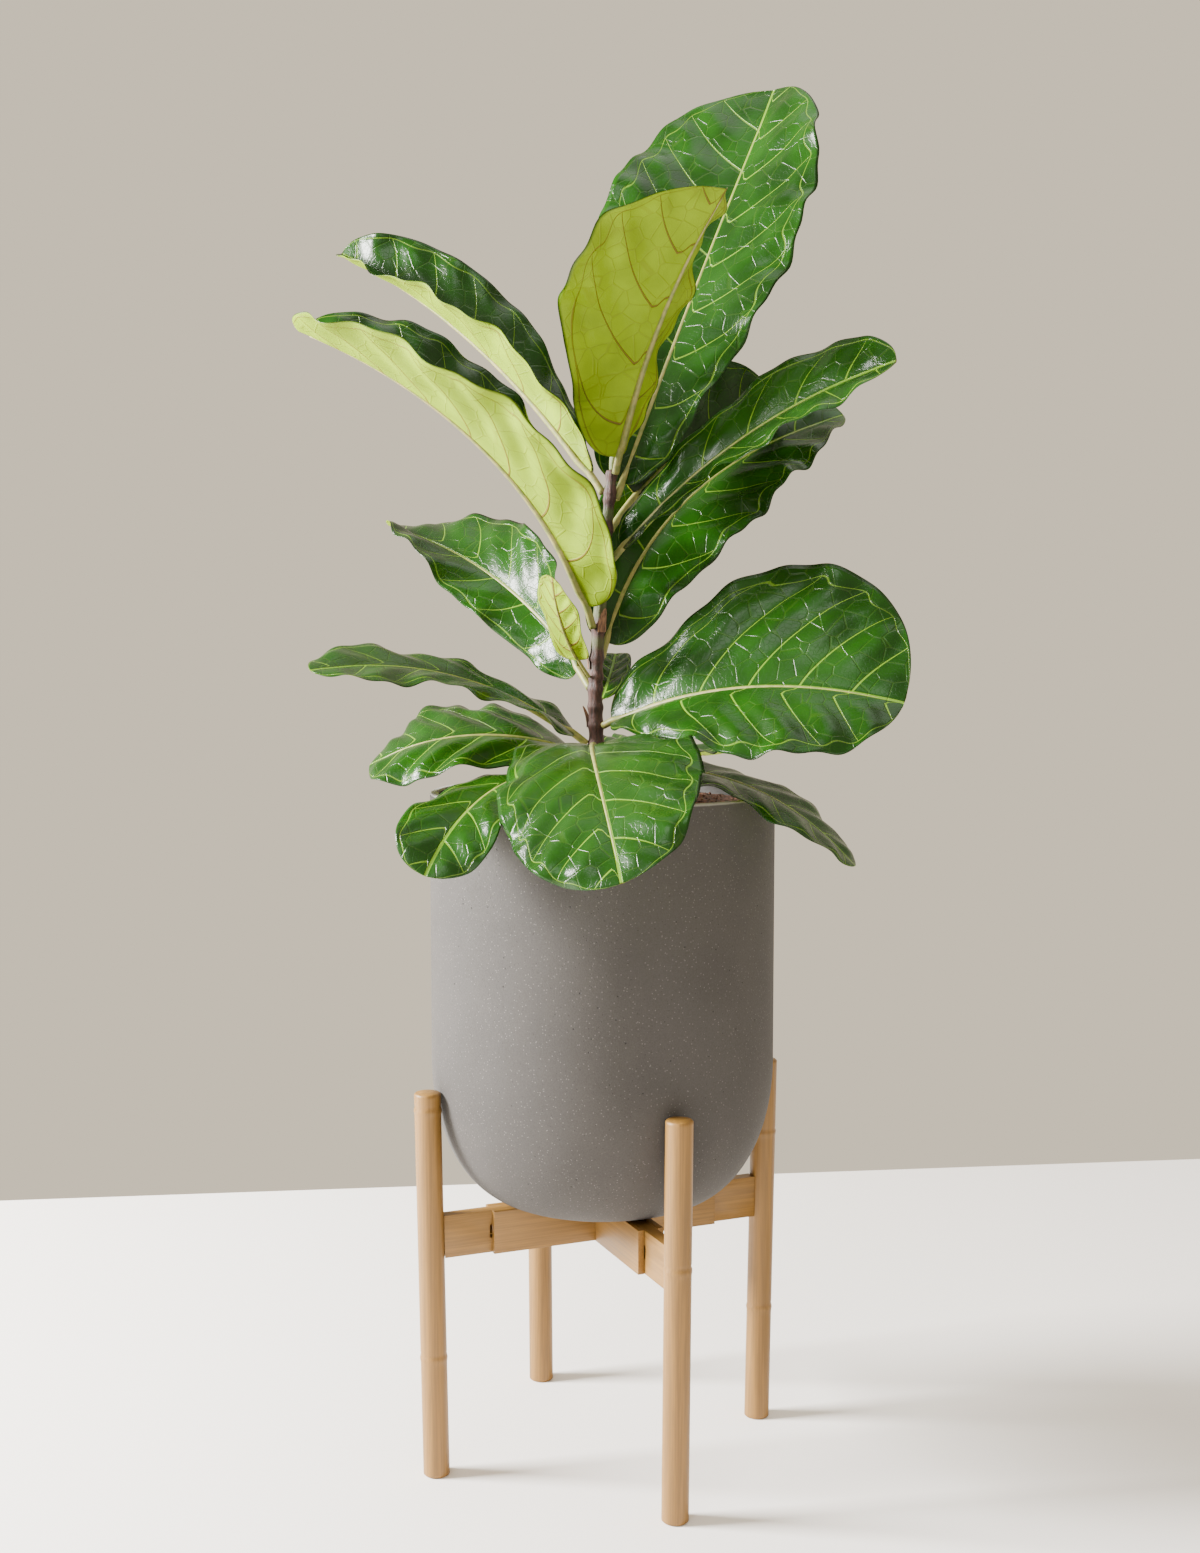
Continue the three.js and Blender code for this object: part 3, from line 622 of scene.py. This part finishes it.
class FIG_OT_pot(bpy.types.Operator):
    """Add the stoneware pot"""

    bl_idname = "fig.pot"
    bl_label = "Pot"

    def execute(self, context):
        rings = pot_rings()
        points, quads, _ = closed_skin(rings)
        rows, sides = rings.shape[:2]
        last = np.arange(sides) + (rows - 1) * sides
        hole = np.stack([last, np.roll(last, -1), np.roll(np.arange(sides), -1),
                         np.arange(sides)], axis=-1)
        skin = (points[:-2], quads, hole)
        material = stoneware_finish(context.scene.fig_colours.stoneware)
        add_piece("visual_pot", [(skin, 0)], "stand_and_plant", ["pot"], [material])
        return {"FINISHED"}


def soil_rings(random):
    """Rings from the pot's floor up its wall, then inwards over a mound that rises as a cosine,
    roughened by a sum of level sine waves in random directions."""
    wall = rounded_wall(SOIL_RADIUS, POT_FOOT_RADIUS - POT_WALL - GAP, SOIL_LOW.z,
                        POT_CURVE_HEIGHT - POT_FLOOR + POT_WALL, 20)
    shares = np.linspace(1, 0.01, 70)
    edge = SOIL_TOP - SOIL_MOUND
    mound = edge + SOIL_MOUND * np.cos(shares * math.pi / 2)
    profile = np.concatenate([[[POLE_RADIUS, SOIL_LOW.z]], wall,
                              np.stack([SOIL_RADIUS * shares, mound], axis=-1)])
    rings = turned(profile, SOIL_SIDES)
    top = rings[-len(shares):]
    rough = np.zeros(top.shape[:2])
    for _ in range(14):
        direction = random.uniform(0, 2 * math.pi)
        wave = random.uniform(250, 900)
        rough += np.sin(wave * (top[..., 0] * math.cos(direction) + top[..., 1] * math.sin(direction))
                        + random.uniform(0, 6))
    top[..., 2] += 0.22 * MM * rough * smooth(1.0, 0.95, shares)[:, None]
    return rings


def crumbs(random, count):
    """Small lumps: each a six-pointed double pyramid with random sizes, dropped on the mound."""
    corner = np.array([[1, 0, 0], [0, 1, 0], [-1, 0, 0], [0, -1, 0], [0, 0, 1], [0, 0, -1]])
    faces = np.array([[0, 1, 4], [1, 2, 4], [2, 3, 4], [3, 0, 4],
                      [1, 0, 5], [2, 1, 5], [3, 2, 5], [0, 3, 5]])
    radius = (SOIL_RADIUS - 5 * MM) * np.sqrt(random.uniform(0.02, 1, count))
    angle = random.uniform(0, 2 * math.pi, count)
    height = SOIL_TOP - SOIL_MOUND + SOIL_MOUND * np.cos(radius / SOIL_RADIUS * math.pi / 2)
    middle = np.stack([radius * np.cos(angle), radius * np.sin(angle), height + 0.4 * MM], axis=-1)
    size = random.uniform(0.8, 2.4, (count, 1, 1)) * random.uniform(0.5, 1, (count, 6, 1)) * MM
    points = middle[:, None] + corner * size
    index = faces[None] + 6 * np.arange(count)[:, None, None]
    return points.reshape(-1, 3), index.reshape(-1, 3), np.zeros((0, 3), int)


class FIG_OT_soil(bpy.types.Operator):
    """Add the potting mix with its loose crumbs"""

    bl_idname = "fig.soil"
    bl_label = "Potting Mix"

    def execute(self, context):
        random = np.random.default_rng(SOIL_SEED)
        skins = [(closed_skin(soil_rings(random)), 0),
                 (crumbs(random, context.scene.fig_sizes.crumbs), 0)]
        add_piece("visual_soil", skins, "stand_and_plant", ["soil"], [soil_finish()])
        return {"FINISHED"}


# ---- trunk, bud and stipules ---------------------------------------------------------------
def trunk_at(height):
    """Centre and radius of the trunk at heights above the soil's top, by straight pieces."""
    level, x, y = TRUNK_AXIS.T
    radius = np.interp(height, [0, level[-1]], [TRUNK_RADIUS, TRUNK_TIP_RADIUS])
    return np.stack([np.interp(height, level, x), np.interp(height, level, y),
                     SOIL_TOP + height], axis=-1), radius


def trunk_skin():
    """Rings along the trunk, thinner between the nodes, with a bell-shaped swelling at each
    petiole. The green value is high half way between two nodes."""
    height = np.linspace(TRUNK_FOOT - SOIL_TOP, TRUNK_AXIS[-1, 0], 260)
    centre, radius = trunk_at(np.maximum(height, 0))
    centre[:, 2] = SOIL_TOP + height
    nodes = np.array([leaf["at"][0] for leaf in LEAVES]) * MM
    away = np.abs(height[:, None] - nodes).min(1)
    radius = radius * 0.9 + 1.1 * MM * np.exp(-(away / (3.5 * MM)) ** 2)
    angle = np.linspace(0, 2 * math.pi, TRUNK_SIDES, endpoint=False)
    uneven = 1 + 0.035 * np.sin(3 * angle + 40 * height[:, None]) + 0.02 * np.sin(7 * angle)
    rings = np.stack([
        centre[:, :1] + radius[:, None] * uneven * np.cos(angle),
        centre[:, 1:2] + radius[:, None] * uneven * np.sin(angle),
        np.broadcast_to(centre[:, 2:], (len(height), TRUNK_SIDES)),
    ], axis=-1)
    green = smooth(5 * MM, 11 * MM, away) * smooth(80 * MM, 150 * MM, height)
    return closed_skin(rings), np.concatenate([np.repeat(green, TRUNK_SIDES), [0, green[-1]]])


def sheath_rings(height, azimuth, length, width):
    """A cupped, pointed sheath: half an ellipse in width along it, bent round the trunk, with a
    tip that curls outwards as the square of the height."""
    rows, sides = 40, 28
    up = np.linspace(0.02, 0.995, rows)[:, None]
    centre, radius = trunk_at(np.array([height * MM]))
    outwards = np.array([math.cos(math.radians(azimuth)), math.sin(math.radians(azimuth)), 0])
    sideways = np.array([-outwards[1], outwards[0], 0])
    angle = np.linspace(0, 2 * math.pi, sides, endpoint=False)[None]
    half = width * MM / 2 * np.sqrt(1 - up ** 2.2)
    across = half * np.sin(angle)
    thick = 0.35 * MM * np.cos(angle) * (1 - 0.6 * up)
    reach = radius[0] + 1.0 * MM + 5 * MM * up ** 2 - across ** 2 / (2.6 * radius[0]) + thick
    return (centre[0] + reach[..., None] * outwards + across[..., None] * sideways
            + (up * length * MM)[..., None] * np.array([0, 0, 1]))


def bud_rings():
    """A slim bud: radius follows the sine of the height to a point, leaning a little."""
    low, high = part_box("terminal_bud")
    up = np.linspace(0.0, 1, 50)
    radius = (high.y - low.y) / 2 * (0.15 + 0.85 * np.sin(math.pi * np.clip(up * 0.75 + 0.22, 0, 1)))
    rings = turned(np.stack([radius, low.z + (high.z - low.z) * up], axis=-1), 32)
    centre, _ = trunk_at(TRUNK_AXIS[-1:, 0])
    rings[..., 0] += centre[0, 0] + 4.4 * MM * up[:, None]
    rings[..., 1] += centre[0, 1]
    return rings


class FIG_OT_trunk(bpy.types.Operator):
    """Add the trunk, its bud and its dry stipules"""

    bl_idname = "fig.trunk"
    bl_label = "Trunk"

    def execute(self, context):
        root = "stand_and_plant"
        skin, green = trunk_skin()
        add_piece("visual_trunk", [(skin, 0)], root, ["trunk"], [bark_finish()],
                  {"green": green})
        add_piece("visual_bud", [(closed_skin(bud_rings()), 0)], root, ["terminal_bud"],
                  [sheath_finish("bud", (0.09, 0.12, 0.03), (0.22, 0.27, 0.08))])
        paper = sheath_finish("stipule", (0.07, 0.03, 0.018), (0.30, 0.15, 0.08))
        for index, row in enumerate(STIPULES):
            add_piece(f"visual_stipule_{index + 1}", [(closed_skin(sheath_rings(*row)), 0)], root,
                      [f"stipule_{index + 1}"], [paper])
        return {"FINISHED"}


# ---- leaves --------------------------------------------------------------------------------
def width_share(along, waist, widest):
    """Half-width as a share of the largest: an elliptical base times a waist that eases out to
    the widest row, times a blunt end."""
    base = np.sqrt(1 - (1 - np.minimum(along / BASE_ROUND, 1)) ** 2)
    past = np.maximum(0, (along - widest) / (1 - widest))
    swell = waist + (1 - waist) * smooth(0, widest, along)
    return swell * base * np.sqrt(np.maximum(0, 1 - past ** END_POWER))


def heading(leaf, share):
    """Unit vectors along the midrib. Its rise and azimuth change evenly with the share."""
    rise = np.radians(leaf["path"][0] + leaf["path"][1] * share)
    turn = np.radians(leaf["at"][1] + leaf["path"][2] * share)
    return np.stack([np.cos(rise) * np.cos(turn), np.cos(rise) * np.sin(turn), np.sin(rise)], -1)


def midrib(leaf, share):
    """Points of the midrib: the running sum of its headings from the trunk's surface."""
    length = (leaf["size"][0] + leaf["size"][1]) * MM
    steps = (np.arange(MIDRIB_STEPS) + 0.5) / MIDRIB_STEPS
    centre, radius = trunk_at(np.array([leaf["at"][0] * MM]))
    azimuth = math.radians(leaf["at"][1])
    clear = radius[0] + PETIOLE_RADIUS * abs(math.sin(math.radians(leaf["path"][0])))
    start = centre[0] + clear * np.array([math.cos(azimuth), math.sin(azimuth), 0])
    moves = np.cumsum(heading(leaf, steps), 0) * length / MIDRIB_STEPS
    path = np.concatenate([start[None], start + moves])
    known = np.linspace(0, 1, MIDRIB_STEPS + 1)
    return np.stack([np.interp(share, known, path[:, axis]) for axis in range(3)], axis=-1)


def leaf_axes(leaf, share, along):
    """The midrib's heading, the direction to the right half and the direction upwards. The
    level direction is turned about the heading by the roll and its change, and a positive roll
    lifts the right half."""
    forward = heading(leaf, share)
    turn = np.radians(leaf["at"][1] + leaf["path"][2] * share)
    level = np.stack([np.sin(turn), -np.cos(turn), np.zeros_like(turn)], axis=-1)
    roll = np.radians(leaf["turn"][0] + leaf["turn"][1] * along)[:, None]
    right = level * np.cos(roll) + np.cross(level, forward) * np.sin(roll)
    return forward, right, np.cross(right, forward)


def unit_normals(grid):
    """Normals of a (rows, columns, 3) grid: the cross product of its two gradients, made unit."""
    normal = np.cross(np.gradient(grid, axis=1), np.gradient(grid, axis=0))
    return normal / np.maximum(np.linalg.norm(normal, axis=-1, keepdims=True), 1e-12)


def blade_skin(leaf, sizes, random):
    """The blade is a grid of rows along the midrib and columns across it. Each half stands up by
    its fold, bends on a circle by its curl, reaches back in a lobe near the base, and then is
    moved along its normal: down in the midrib, up between the side veins as a raised cosine, and
    up and down at the margin as a sum of two sines. The lower face follows at the thickness."""
    petiole, blade, width = [size * MM for size in leaf["size"]]
    skew, waist, widest = leaf["form"]
    along = np.linspace(0.001, 0.999, sizes.rows)
    along = (1 - np.cos(math.pi * along)) / 2 * 0.5 + along * 0.5
    share = (petiole + blade * along) / (petiole + blade)
    side = np.linspace(-1, 1, sizes.columns + 1)[None]
    reach, hand = np.abs(side), (side > 0).astype(int)
    centre = midrib(leaf, share)
    forward, right, up = leaf_axes(leaf, share, along)

    spread = width / 2 * width_share(along, waist, widest)[:, None] * (1 + skew * np.sign(side))
    fold = np.radians(np.array(leaf["fold"]))[hand]
    curl = np.radians(np.array(leaf["curl"]))[hand] + LEAST_CURL
    out = spread * (np.sin(fold + curl * reach) - np.sin(fold)) / curl
    lift = spread * (np.cos(fold) - np.cos(fold + curl * reach)) / curl
    back = (LOBE_REACH * spread * np.sin(reach * math.pi / 2)
            * np.maximum(0, 1 - along[:, None] / LOBE_LENGTH))
    middle = (centre[:, None] + (np.sign(side) * out)[..., None] * right[:, None]
              + lift[..., None] * up[:, None] - back[..., None] * forward[:, None])

    count = max(5, round(blade / sizes.vein_spacing))
    across = spread * reach
    vein = count * (along[:, None] - (0.5 * across + 0.85 * across ** 2 / width) / blade
                    + back / blade) + 0.4 * smooth(0, 0.12, side)
    small = min(1, width / (120 * MM))
    puff = (1 - np.cos(2 * math.pi * vein)) / 2 * smooth(0.03, 0.45, reach) * smooth(1, 0.7, reach)
    groove = np.exp(-(across / (5 * MM)) ** 2)
    ends = np.minimum(smooth(0, 0.12, along), smooth(1, 0.9, along))[:, None]
    phase = [random.uniform(0, 2 * math.pi, 2)[hand] for _ in range(2)]
    beat = blade / (80 * MM)
    wave = (np.sin(2 * math.pi * beat * along[:, None] + phase[0])
            + 0.5 * np.sin(2 * math.pi * 2.3 * beat * along[:, None] + phase[1]))
    move = small * (sizes.puffing * puff - 1.2 * MM * groove + sizes.margin_wave * wave
                    * reach ** 3) * ends
    middle = middle + move[..., None] * unit_normals(middle)
    half_thick = BLADE_THICKNESS / 2 * np.sqrt(np.maximum(0, 1 - reach ** 4))[..., None]
    offset = half_thick * unit_normals(middle)
    upper, lower = middle + offset, middle - offset
    rings = np.concatenate([upper, lower[:, -2:0:-1]], axis=1)

    def both(array):
        array = np.broadcast_to(array, vein.shape)
        return np.concatenate([array, array[:, -2:0:-1]], axis=1).ravel()

    top = np.zeros(rings.shape[:2])
    top[:, :sizes.columns + 1] = 1
    values = {
        "vein_map": np.stack([both(vein), both(np.full_like(vein, blade / count)),
                              both(across)], axis=-1),
        "edge": np.stack([both(reach), both(spread), both(along[:, None] * blade)], axis=-1),
        "upper": top.ravel(),
    }
    return closed_skin(rings), values


def rib_skin(leaf):
    """A tube under the midrib from the trunk to near the tip. Its radius falls as a power of the
    share, and it sinks below the blade by most of its radius."""
    petiole, blade, _ = [size * MM for size in leaf["size"]]
    share = np.linspace(0, 0.97, 120)
    start = petiole / (petiole + blade)
    along = np.clip((share - start) / (1 - start), 0, 1)
    centre = midrib(leaf, share)
    _, right, up = leaf_axes(leaf, share, along)
    slim = min(1, blade / (180 * MM))
    radius = slim * (2.7 * MM * (1 - along) ** 0.9 + 0.35 * MM)
    sink = smooth(0, 0.05, along) * (radius * 0.55 + 0.8 * MM)
    angle = math.pi - np.linspace(0, 2 * math.pi, 16, endpoint=False)
    rings = (centre[:, None] - sink[:, None, None] * up[:, None]
             + radius[:, None, None] * (np.cos(angle)[None, :, None] * right[:, None]
                                        + np.sin(angle)[None, :, None] * up[:, None]))
    return closed_skin(rings)


class FIG_OT_leaves(bpy.types.Operator):
    """Add the leaves, each a veined blade and its petiole"""

    bl_idname = "fig.leaves"
    bl_label = "Leaves"

    def execute(self, context):
        sizes, colours = context.scene.fig_sizes, context.scene.fig_colours
        materials = [blade_finish(colours), rib_finish()]
        for index, leaf in enumerate(LEAVES):
            random = np.random.default_rng(LEAF_SEED + index)
            blade, values = blade_skin(leaf, sizes, random)
            rib = rib_skin(leaf)
            # The blade's two end points and the rib hold no vein values.
            plain = 2 + len(rib[0])
            padded = {key: np.concatenate([array, np.zeros((plain, *array.shape[1:]))])
                      for key, array in values.items()}
            node = f"leaf_{index + 1:02d}"
            add_piece(f"visual_{node}", [(blade, 0), (rib, 1)], "stand_and_plant", [node],
                      materials, padded)
        return {"FINISHED"}


# ---- stage ---------------------------------------------------------------------------------
CAMERA_PLACE = (-0.002, -1.505, 0.687)
CAMERA_PITCH = math.radians(85.5)
CAMERA_LENS = 42.37
LIGHTS_AIM = (0, 0, 0.6)
FLOOR_CORNERS = [(-6, -6, 0), (6, -6, 0), (6, 1.45, 0), (-6, 0.05, 0)]
BACKDROP = (0.90, 0.78, 0.60, 1)
# Name, place, side, power and colour of each square area light.
LIGHTS = [
    ("key", (-2.5, -0.15, 1.5), 0.9, 500, (1.0, 0.98, 0.95)),
    ("front", (-1.2, -2.8, 2.4), 1.4, 34, (1.0, 1.0, 1.0)),
    ("top", (0.2, 0.2, 2.9), 1.8, 22, (1.0, 1.0, 1.0)),
]


class FIG_OT_stage(bpy.types.Operator):
    """Add the floor, the soft lights, the backdrop colour and the camera"""

    bl_idname = "fig.stage"
    bl_label = "Stage"

    def execute(self, context):
        scene = context.scene
        mesh = bpy.data.meshes.new("floor")
        mesh.from_pydata(FLOOR_CORNERS, [], [(0, 1, 2, 3)])
        finish = Finish("floor")
        mesh.materials.append(finish.done(scene.fig_colours.floor, 0.75))
        floor = bpy.data.objects.new("floor", mesh)
        scene.collection.objects.link(floor)
        for name, where, size, power, colour in LIGHTS:
            data = bpy.data.lights.new(name, "AREA")
            data.shape, data.size, data.energy, data.color = "SQUARE", size, power, colour
            light = bpy.data.objects.new(name, data)
            light.location = where
            aim = np.array(LIGHTS_AIM) - np.array(where)
            light.rotation_euler = (math.acos(-aim[2] / np.linalg.norm(aim)), 0,
                                    math.atan2(aim[1], aim[0]) - math.pi / 2)
            scene.collection.objects.link(light)
        data = bpy.data.cameras.new("camera")
        data.lens, data.sensor_width = CAMERA_LENS, 36
        camera = bpy.data.objects.new("camera", data)
        camera.location = CAMERA_PLACE
        camera.rotation_euler = (CAMERA_PITCH, 0, 0)
        scene.collection.objects.link(camera)
        scene.camera = camera
        world = bpy.data.worlds.new("studio")
        world.use_nodes = True
        background = world.node_tree.nodes["Background"]
        background.inputs["Color"].default_value = BACKDROP
        background.inputs["Strength"].default_value = 1.0
        scene.world = world
        return {"FINISHED"}


# ---- panel and registration ----------------------------------------------------------------
OPERATORS = [FIG_OT_legs, FIG_OT_bars, FIG_OT_pot, FIG_OT_soil, FIG_OT_trunk, FIG_OT_leaves,
             FIG_OT_stage]


class FIG_PT_panel(bpy.types.Panel):
    """Lists the pieces of the fig and their settings"""

    bl_idname = "FIG_PT_panel"
    bl_label = "Fiddle Leaf Fig"
    bl_space_type = "VIEW_3D"
    bl_region_type = "UI"
    bl_category = "Fig"

    def draw(self, context):
        for operator in OPERATORS:
            self.layout.operator(operator.bl_idname)
        for group in (context.scene.fig_sizes, context.scene.fig_colours):
            for name in group.__annotations__:
                self.layout.prop(group, name)


CLASSES = [FigSizes, FigColours, *OPERATORS, FIG_PT_panel]


def register():
    for cls in CLASSES:
        bpy.utils.register_class(cls)
    bpy.types.Scene.fig_sizes = PointerProperty(type=FigSizes)
    bpy.types.Scene.fig_colours = PointerProperty(type=FigColours)


def unregister():
    del bpy.types.Scene.fig_colours
    del bpy.types.Scene.fig_sizes
    for cls in reversed(CLASSES):
        bpy.utils.unregister_class(cls)


def main():
    """Builds every piece in order."""
    register()
    bpy.ops.fig.legs()
    bpy.ops.fig.bars()
    bpy.ops.fig.pot()
    bpy.ops.fig.soil()
    bpy.ops.fig.trunk()
    bpy.ops.fig.leaves()
    bpy.ops.fig.stage()


if __name__ == "__main__":
    main()
